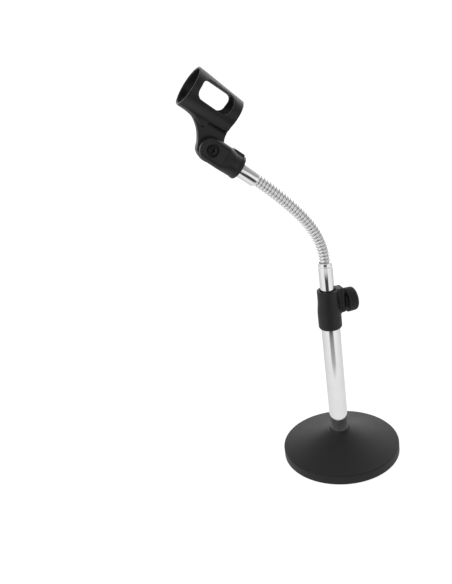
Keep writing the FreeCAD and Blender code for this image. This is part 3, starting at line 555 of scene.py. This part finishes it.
def swivel_field(x, y, z):
    """Round barrel that turns into a two-eared fork."""
    radius = np.sqrt(x ** 2 + y ** 2)
    ear = np.sqrt(x ** 2 + (z - FORK_PIVOT) ** 2)
    barrel_r = 11.6 + 0.6 * unit((z - 25.0) / 20.0)
    squareness = unit((z - 30.0) / 9.0)
    section = ((1 - squareness) * (radius - barrel_r)
               + squareness * round_box(x, y, 12.15, 10.9, 6.5))
    ends = np.where(z > FORK_PIVOT, ear - EAR_R, np.abs(x) - 12.6)
    body = meet(meet(section, FORK_BASE - z, 1.0), ends, 1.2)
    # The flat cheeks run out to full width below the ears
    body = meet(body, np.abs(y) - 10.7 - 3.0 * unit((40.0 - z) / 8.0), 0.9)
    collar = meet(meet(radius - 12.0, FORK_BASE - z, 1.4), z - FORK_BASE - 3.4, 1.0)
    body = join(body, collar, 0.8)
    # Raised pad on the +x side of the barrel
    pad = meet(np.abs(x - 11.5) - 1.6, np.abs(y) - 4.5, 0.9)
    pad = meet(pad, np.abs(z - FORK_BASE - 8.4) - 6.0, 0.9)
    body = join(body, pad, 0.45)
    body = cut(body, meet(np.abs(y) - SLOT_HALF, SLOT_FLOOR - z, 0.8), 0.6)
    body = cut(body, ear - FORK_PIN_R, 0.2)
    body = cut(body, meet(ear - SCREW_RECESS_R, y + 7.9, 0.3), 0.7)
    hexagon = np.maximum(np.abs(x), np.abs(0.5 * x) + np.abs(np.sqrt(0.75) * (z - FORK_PIVOT)))
    body = cut(body, meet(hexagon - NUT_RECESS_HALF, 7.2 - y, 0.2), 0.3)
    # Stepped bore: wide at the foot, narrower above
    body = cut(body, meet(radius - 9.53, z - FORK_BASE - 14.62, 0.3), 0.4)
    return cut(body, meet(radius - 8.1, z - 36.0, 0.3), 0.3)


register(carved("swivel_fork", swivel_field, low=(-13.4, -13.0, 19.6), high=(14.0, 13.0, 67.2),
                step=0.42, matrix=AT_NECK_END),
         "holder_plastic", "swivel", "swivel_base")

# ------------------------------------------------------------ clamp body
CLAMP_LOW, CLAMP_TOP = 156.3, 199.8
CLAMP_STEP = 175.7                      # the outside narrows from just below here
LUG_HALF = 13.6                         # half height of the lug on the +x side


def clamp_field(x, y, z):
    """Sleeve round the column's top with a lug for the knob's screw."""
    radius = np.sqrt(x ** 2 + y ** 2)
    narrowing = (z - CLAMP_STEP + 3.0) / (CLAMP_TOP - 10.0 - CLAMP_STEP + 3.0)
    outer = 12.5 - 1.3 * smoothstep(narrowing)
    shell = meet(meet(radius - outer, z - CLAMP_TOP, 0.9), CLAMP_LOW - z, 3.0)
    lug_z = np.abs(z - CLAMP_TOP + LUG_HALF)
    lug = meet(meet(np.abs(x - 8.0) - 8.7, np.abs(y) - 6.5, 1.6), lug_z - LUG_HALF, 1.4)
    lug = meet(lug, 3.0 - x, 0.2)
    # Shallow upright groove in each side of the lug
    groove = meet(meet(np.abs(x - 12.3) - 0.35, 5.9 - np.abs(y), 0.3), lug_z - 12.0, 0.5)
    body = join(shell, cut(lug, groove, 0.4), 2.0)
    # Wide bore for the column, narrower for the inner tube, flared at the top
    flare = 0.6 * unit((z - CLAMP_TOP + 0.6) / 0.6)
    bore = np.where(z < COLUMN_TOP + 1.4, radius - 10.05, radius - 8.3 - flare)
    body = cut(body, bore, 0.35)
    screw_hole = meet(np.sqrt(y ** 2 + (z - KNOB_Z) ** 2) - 3.15, 5.0 - x, 0.2)
    body = cut(body, screw_hole, 0.3)
    # Square slot across the screw hole, open downwards
    slot = meet(meet(np.abs(x - 13.1) - 2.55, np.abs(y) - 5.05, 0.2), z - KNOB_Z - 5.05, 0.2)
    return cut(body, slot, 0.25)


register(carved("clamp_shell", clamp_field, low=(-13.3, -13.3, 155.6), high=(17.6, 13.3, 200.6),
                step=0.5),
         "clamp_plastic", "stand", "clamp_body")

# ------------------------------------------------------------ clamp knob
# Turned round +x; heights in the profile are places along x.
KNOB_BACK, KNOB_FACE, KNOB_R = 19.0, 30.8, 13.0
KNOB_BORE = 3.02
FLUTES, FLUTE_DEPTH = 30, 0.42
ALONG_X = Matrix(((0, 0, 1, 0), (0, 1, 0, 0), (-1, 0, 0, KNOB_Z * MM), (0, 0, 0, 1)))


def fluted(radius, height, angle):
    """Grooves round the knob, fading out at both ends."""
    fade = (np.clip((height - KNOB_BACK - 0.3) / 0.8, 0, 1)
            * np.clip((KNOB_FACE - 1.2 - height) / 1.6, 0, 1) * (radius > 8))
    return radius - FLUTE_DEPTH * fade * np.clip(np.cos(angle * FLUTES) * 1.4 - 0.35, 0, 1)


knob_profile = (
    [(KNOB_BORE, 17.3), (6.8, 17.3), (7.2, 17.7), (7.2, KNOB_BACK - 0.25)]
    + arc(7.55, KNOB_BACK - 0.35, 0.35, 180, 90, 3)[1:]
    + [(KNOB_R - 1.3, KNOB_BACK)]
    + arc(KNOB_R - 1.0, KNOB_BACK + 1.0, 1.0, -90, 0, 6)
    + [(KNOB_R - 0.02, KNOB_BACK + 2.0), (KNOB_R - 0.05, KNOB_BACK + 3.5),
       (KNOB_R - 0.1, KNOB_BACK + 5.0), (KNOB_R - 0.2, KNOB_BACK + 6.4)]
    + arc(KNOB_R - 3.8, KNOB_FACE - 3.9, 3.6, 0, 52, 10)
    + arc(KNOB_R - 7.0, KNOB_FACE - 8.05, 8.0, 54, 88, 8)
    + [(0.0, KNOB_FACE)])
knob_profile = [(r, min(z, KNOB_FACE)) for r, z in knob_profile]
knob_profile += [(0.0, KNOB_FACE - 3.95), (KNOB_BORE, KNOB_FACE - 3.95)]
register(lathe("knob_fluted", knob_profile, 480, ALONG_X, sharp=40.0, shape=fluted),
         "knob_plastic", "knob", "clamp_knob")

# ------------------------------------------------------------ base plate
BASE_R = 65.0
BOSS_TOP, BOSS_R = 30.3, 11.2
SEAT_R, SEAT_HOLE_R = 10.05, 4.3        # pocket for the column and the hole below it
FLANK_START, FLANK_END = 64.2, 17.0     # radii where the sloping top begins and ends
FLANK_STEPS = 48
# The sloping top follows a concave arc; (radius, height) of its chord's ends and its sag
CHORD_OUT, CHORD_IN, CHORD_SAG = (BASE_R, 11.1), (13.5, 28.3), 1.2


def flank_points():
    """Sloping top of the base from the rim in to the boss."""
    (out_r, out_z), (in_r, in_z) = CHORD_OUT, CHORD_IN
    chord = math.hypot(out_r - in_r, in_z - out_z)
    offset = chord ** 2 / (8 * CHORD_SAG) - CHORD_SAG / 2
    centre_r = (out_r + in_r) / 2 + (in_z - out_z) / chord * offset
    centre_z = (out_z + in_z) / 2 + (out_r - in_r) / chord * offset
    radius = math.hypot(out_r - centre_r, out_z - centre_z)
    points = []
    for i in range(FLANK_STEPS + 1):
        r = FLANK_START - (FLANK_START - FLANK_END) * i / FLANK_STEPS
        points.append((r, centre_z - math.sqrt(radius ** 2 - (r - centre_r) ** 2)))
    return points


def boss_fillet(start_z):
    """Sweeps up from the inner end of the flank to the boss."""
    width = FLANK_END - BOSS_R
    points = []
    for i in range(1, 9):
        t = i / 9.0 * math.pi / 2
        rise = width * 0.33 * math.sin(t) + 2.0 * (1 - math.cos(t)) ** 1.2
        points.append((FLANK_END - width * math.sin(t), start_z + rise))
    return points


flank = flank_points()
rim_z = flank[0][1]
base_profile = (
    # Underside, with a ring groove near the edge
    [(SEAT_HOLE_R, 15.7), (16.0, 15.7), (20.0, 8.5), (50.0, 8.5), (51.5, 0.8), (53.45, 0.8),
     (53.45, 2.6), (62.55, 2.6), (62.55, 0.8), (64.3, 0.8), (64.75, 0.95)]
    # Outer wall and its rounded top edge
    + [(BASE_R, z) for z in (1.3, 3.0, 6.0, 9.0, rim_z - 1.1)]
    + [(64.94, rim_z - 0.66), (64.8, rim_z - 0.36), (64.55, rim_z - 0.14)]
    + flank + boss_fillet(flank[-1][1])
    + [(BOSS_R, BOSS_TOP - 0.5)] + arc(BOSS_R - 0.5, BOSS_TOP - 0.5, 0.5, 0, 90, 4)[1:]
    + [(SEAT_R, BOSS_TOP), (SEAT_R, COLUMN_SEAT), (SEAT_HOLE_R, COLUMN_SEAT)])
register(lathe("base_casting", base_profile, 256), "base_coat", "stand", "base_plate")

# ----------------------------------------------------------------- tubes
COLUMN_R, COLUMN_BORE = 10.0, 8.5
column_profile = (
    [(COLUMN_BORE, COLUMN_SEAT)]
    + [(COLUMN_R, z) for z in (COLUMN_SEAT, 60, 110, 150, COLUMN_TOP - 0.3)]
    + [(9.7, COLUMN_TOP), (COLUMN_BORE, COLUMN_TOP)])
register(lathe("column_tube", column_profile, 192), "chrome", "stand", "lower_tube")

INNER_R, INNER_LOW, INNER_BORE = 7.5, 77.7, 6.1
inner_top = NECK_START_Z / MM
inner_profile = (
    [(INNER_BORE, INNER_LOW), (7.0, INNER_LOW)]
    + [(INNER_R, z) for z in (78.2, 120, 170, 205, inner_top - 5.0)]
    # Eased step down to the narrower mouth
    + [(INNER_R - 0.25 * (1 - math.cos(math.pi * i / 6)) / 2, inner_top - 5.0 + 0.8 * i / 6)
       for i in range(1, 7)]
    + [(7.25, inner_top - 2.4), (7.25, inner_top - 0.9)]
    + arc(6.75, inner_top - 0.5, 0.5, 0, 90, 6)
    + arc(6.62, inner_top - 0.27, 0.27, 90, 180, 4)[1:]
    + [(6.35, inner_top - 16.5), (INNER_BORE, inner_top - 16.5)])
register(lathe("inner_column", inner_profile, 192), "chrome", "column", "inner_tube")

FERRULE_R, FERRULE_BORE = 7.9, 6.26
THREAD_R, THREAD_ROOT, THREAD_PITCH, THREADS = 7.7, 7.35, 0.94, 9
ferrule_profile = (
    [(FERRULE_BORE, 0.0), (7.3, 0.0)]
    + arc(FERRULE_R - 0.5, 0.5, 0.5, -90, 0, 5)
    + [(FERRULE_R, 4.0), (FERRULE_R, 10.0), (FERRULE_R, FORK_BASE - 0.7)]
    + arc(FERRULE_R - 0.5, FORK_BASE - 0.7, 0.5, 0, 90, 4)[1:]
    + [(6.9, FORK_BASE - 0.2), (6.9, FORK_BASE + 1.2)])
for turn in range(THREADS):
    z = FORK_BASE + 2.0 + turn * THREAD_PITCH
    ferrule_profile += [(THREAD_R, z), (THREAD_ROOT, z + 0.28), (THREAD_ROOT, z + 0.42),
                        (THREAD_R, z + 0.7)]
ferrule_profile += [(THREAD_R, 31.0), (6.7, 32.0), (2.6, 32.0), (2.6, 15.0),
                    (FERRULE_BORE, 15.0)]
register(lathe("neck_ferrule", ferrule_profile, 160, AT_NECK_END),
         "chrome", "neck_top", "upper_ferrule")

# ----------------------------------------------------------- pivot screw
# Local z runs along +y, with the head on the -y side.
ALONG_PIVOT = AT_PIVOT @ Matrix(((1, 0, 0, 0), (0, 0, 1, 0), (0, -1, 0, 0), (0, 0, 0, 1)))
SCREW_HEAD_R, SHANK_R, SHANK_HALF = 4.5, 2.5, 10.85
RECESS_Z, RECESS_DEPTH = -10.6, 1.9


def screw_field(x, y, z):
    """Domed cross-recess screw."""
    radius = np.sqrt(x ** 2 + y ** 2)
    dome = np.sqrt(x ** 2 + y ** 2 + (z - 1.2) ** 2) - 11.8
    head = meet(meet(radius - SCREW_HEAD_R, z + 7.95, 0.3), dome, 0.6)
    body = join(head, meet(radius - SHANK_R, np.abs(z) - SHANK_HALF, 0.4), 0.2)
    depth = z - RECESS_Z
    taper = np.clip(1.0 - depth * 0.22, 0.4, 1.0)
    arm, arm_half = 2.5 * taper, 0.62 * taper
    cross = np.minimum(np.maximum(np.abs(x) - arm, np.abs(y) - arm_half),
                       np.maximum(np.abs(y) - arm, np.abs(x) - arm_half))
    cross = join(cross, radius - 1.0 * taper, 0.3)
    return cut(body, meet(cross, depth - RECESS_DEPTH, 0.2), 0.12)


register(carved("pivot_screw_head", screw_field, low=(-5.1, -5.1, -11.4), high=(5.1, 5.1, 11.4),
                step=0.24, matrix=ALONG_PIVOT),
         "black_steel", "swivel", "pivot_screw")

# ------------------------------------------------------- gooseneck coils
TURNS_PER_LINK = 4.0
LINK_LENGTH = 0.0152                    # metres, for the straight ends
WIRE_R, WIRE_AT = 1.33, 4.87            # round wire and its distance from the centre line
# Wire sections as (distance from the centre line, place along it)
ROUND_WIRE = [(WIRE_AT + WIRE_R * math.cos(t), WIRE_R * math.sin(t))
              for t in np.arange(14) * 2 * math.pi / 14]
WEDGE_WIRE = [(3.9, 0.18), (3.9, -0.18), (4.7, -0.6), (5.15, -0.9), (5.35, -0.7),
              (5.42, -0.3), (5.42, 0.3), (5.35, 0.7), (5.15, 0.9), (4.7, 0.6)]


def link_path(k, s):
    """Point and direction on the centre line of link k, s from 0 to 1."""
    start, end = LINK_ENDS[k], LINK_ENDS[k + 1]
    start_dir, end_dir = LINK_DIRS[k], LINK_DIRS[k + 1]
    turn = math.acos(max(-1, min(1, start_dir.dot(end_dir))))
    if turn < 1e-4:
        return start.lerp(end, s), start_dir
    axis = start_dir.cross(end_dir).normalized()
    inward = axis.cross(start_dir).normalized()
    radius = (end - start).length / (2 * math.sin(turn / 2))
    a = turn * s
    centre = start + inward * radius
    return (centre - inward * radius * math.cos(a) + start_dir * radius * math.sin(a),
            start_dir * math.cos(a) + inward * math.sin(a))


def straight_path(end, s):
    """Point and direction on the straight line through a link end, s in links."""
    return LINK_ENDS[end] + LINK_DIRS[end] * s * LINK_LENGTH, LINK_DIRS[end]


def wire(path, section, start, end, link, phase, per_turn):
    """Sweeps a section along a helix round path(link, s), for s from start to end."""
    steps = max(2, int(round(abs(end - start) * TURNS_PER_LINK * per_turn)))
    size = len(section)
    verts, faces = [], []
    for i in range(steps + 1):
        s = start + (end - start) * i / steps
        point, direction = path(link, s)
        a = 2 * math.pi * (TURNS_PER_LINK * (link + s) + phase)
        radial = Y.cross(direction) * math.cos(a) + Y * math.sin(a)
        for out, along in section:
            verts.append(tuple(point / MM + radial * out + direction * along))
        if i:
            b = (i - 1) * size
            faces += [(b + j, b + (j + 1) % size, b + size + (j + 1) % size, b + size + j)
                      for j in range(size)]
    faces.append(tuple(range(size))[::-1])
    faces.append(tuple(range(steps * size, steps * size + size)))
    return verts, faces


def neck_coil(name, path, start, end, link, per_turn):
    """Round wire and, half a turn on, the wedge wire that lies between its turns."""
    verts, faces, slots = [], [], []
    for slot, (section, phase) in enumerate(((ROUND_WIRE, 0.0), (WEDGE_WIRE, 0.5))):
        wire_verts, wire_faces = wire(path, section, start, end, link, phase, per_turn)
        first = len(verts)
        verts += wire_verts
        faces += [tuple(first + j for j in face) for face in wire_faces]
        slots += [slot] * len(wire_faces)
    coil = make(name, verts, faces, sharp=50.0)
    coil.data.materials.append(SLOT_MATERIALS["neck_chrome"])
    # The wedge wire gets the darker material, painted shade between the turns
    coil.data.materials.append(WEDGE_STEEL_PAINTED_SHADE)
    coil.data.polygons.foreach_set("material_index", slots)
    coil.data.flip_normals()            # the sweep leaves its sides facing into the wire
    return coil


replaced_nodes = [["gooseneck_lower_end"]] + [["gooseneck_link_%d" % k] for k in range(1, LINKS)]
replaced_nodes[-1].append("gooseneck_upper_end")
for k in range(LINKS):
    coil = neck_coil("neck_coil_%d" % (k + 1), link_path, 0.0, 1.0, link=k, per_turn=44)
    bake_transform(coil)
    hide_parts(*replaced_nodes[k])
# Straight ends that run into the inner column and the ferrule
coil = neck_coil("neck_coil_foot", straight_path, -0.95, 0.0, link=0, per_turn=36)
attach(coil, "column")
coil = neck_coil("neck_coil_head", straight_path, 0.0, 0.9, link=LINKS, per_turn=36)
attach(coil, "neck_top")

# ----------------------------------------------------------------- stage
CAMERA_AZIMUTH = math.radians(-22.0)
TO_CAMERA = Vector((math.sin(CAMERA_AZIMUTH), -math.cos(CAMERA_AZIMUTH), 0))
CAMERA_RIGHT = Vector((math.cos(CAMERA_AZIMUTH), math.sin(CAMERA_AZIMUTH), 0))
MIRRORED_FLOOR = 0.92                   # brightness of the floor in reflections
# Darkness of the mirrored floor: (metres towards the camera, darkness)
FLOOR_DARKNESS = [(0.180, 0.0), (0.222, 0.50), (0.268, 0.62), (0.306, 0.70),
                  (0.334, 0.94), (0.64, 0.94), (0.80, 0.25)]


def floor_material():
    """Pale to the camera, darkened in a patch near the camera in reflections."""
    material, nodes = new_material("pale_floor")
    position = nodes.add("NewGeometry").outputs["Position"]
    rays = nodes.add("LightPath").outputs
    near = nodes.dot(position, TO_CAMERA)
    across = nodes.dot(position, CAMERA_RIGHT)
    slope = nodes.math("ABSOLUTE", nodes.math("DIVIDE", across,
                                              nodes.math("MAXIMUM", near, 0.02)))
    darkness = nodes.add("ValToRGB", {"Fac": near})
    ramp = darkness.color_ramp
    ramp.interpolation = "LINEAR"
    ramp.elements[0].position = FLOOR_DARKNESS[0][0]
    ramp.elements[1].position = FLOOR_DARKNESS[-1][0]
    for place, _ in FLOOR_DARKNESS[1:-1]:
        ramp.elements.new(place)
    for element, (place, value) in zip(ramp.elements, FLOOR_DARKNESS):
        element.position = place
        element.color = (value, value, value, 1)
    side_fade = nodes.remap(slope, span=(0.34, 0.62), to=(1.0, 0.0))
    dark = nodes.math("MULTIPLY", darkness.outputs["Color"], side_fade)
    far_dimming = nodes.remap(near, span=(-0.25, 0.25), to=(0.72, 1.0))
    # (darkness - 1) times a negative brightness
    minus_light = nodes.math("SUBTRACT", nodes.math("ADD", dark, 0.0), 1.0)
    level = nodes.math("MULTIPLY", nodes.math("MULTIPLY", minus_light, -MIRRORED_FLOOR),
                       far_dimming)
    mirrored = nodes.light("Emission", strength=level)
    white = nodes.light("Emission", strength=0.93)
    soft = nodes.add("BsdfDiffuse", {"Color": (0.22, 0.22, 0.22, 1)}).outputs[0]
    seen = nodes.add("AddShader", {0: white, 1: soft}).outputs[0]
    plain = nodes.light("Emission", strength=0.62)
    unseen = nodes.mix_shader(rays["Is Glossy Ray"], off=plain, on=mirrored)
    surface = nodes.mix_shader(rays["Is Camera Ray"], off=unseen, on=seen)
    nodes.add("OutputMaterial", {0: surface})
    return material


def build_world():
    """White to the camera; to other rays a soft sky, brightest low on the far side."""
    world = bpy.data.worlds.new("studio")
    scene.world = world
    nodes = Nodes(world)
    direction = nodes.add("TexCoord").outputs["Generated"]
    is_camera = nodes.add("LightPath").outputs["Is Camera Ray"]
    height = nodes.dot(direction, (0, 0, 1))
    away = nodes.dot(direction, -TO_CAMERA)
    low_band = nodes.remap(height, span=(0.05, 0.65), to=(1.0, 0.0))
    far_side = nodes.remap(away, span=(-0.2, 0.6))
    glow = nodes.math("MULTIPLY", nodes.math("MULTIPLY", low_band, far_side), 2.0)
    overall = nodes.remap(height, span=(0.0, 0.9), to=(0.34, 0.42))
    sky = nodes.light("Background", strength=nodes.math("ADD", glow, overall))
    clean = nodes.light("Background", strength=1.0)
    nodes.add("OutputWorld", {0: nodes.mix_shader(is_camera, off=sky, on=clean)})


def area_light(name, location, target, size, power):
    light = bpy.data.lights.new(name, "AREA")
    light.shape = "RECTANGLE"
    light.size = light.size_y = size
    light.energy = power
    obj = bpy.data.objects.new(name, light)
    scene.collection.objects.link(obj)
    obj.location = location
    obj.rotation_mode = "QUATERNION"
    obj.rotation_quaternion = (Vector(target) - Vector(location)).to_track_quat("-Z", "Y")


def add_camera():
    camera = bpy.data.cameras.new("camera")
    camera.sensor_width = 36.0
    camera.lens = 43.150685
    camera.clip_start, camera.clip_end = 0.01, 50
    obj = bpy.data.objects.new("camera", camera)
    scene.collection.objects.link(obj)
    right = (0.951175, -0.277320, -0.135496)
    up = (0.224597, 0.320765, 0.920145)
    backward = (-0.211712, -0.905651, 0.367389)
    obj.rotation_mode = "QUATERNION"
    obj.rotation_quaternion = Matrix((right, up, backward)).transposed().to_quaternion()
    obj.location = (-0.256718, -0.635400, 0.481357)
    scene.camera = obj


scene = bpy.context.scene
scene.view_settings.view_transform = "Standard"
scene.view_settings.look = "None"
scene.view_settings.exposure = 0.0
scene.view_settings.gamma = 1.0

FLOOR_HALF, FLOOR_Z = 60000, -0.05      # mm
floor_corners = [(x * FLOOR_HALF, y * FLOOR_HALF, FLOOR_Z)
                 for x, y in ((-1, -1), (1, -1), (1, 1), (-1, 1))]
floor = make("studio_floor", floor_corners, [(0, 1, 2, 3)])
floor.data.materials.append(floor_material())
build_world()
area_light("key_light", location=(-1.1, -0.3, 1.3), target=(0, 0, 0.25), size=1.4, power=6.5)
area_light("fill_light", location=(1.2, 0.6, 1.1), target=(0, 0, 0.2), size=1.2, power=4)
add_camera()
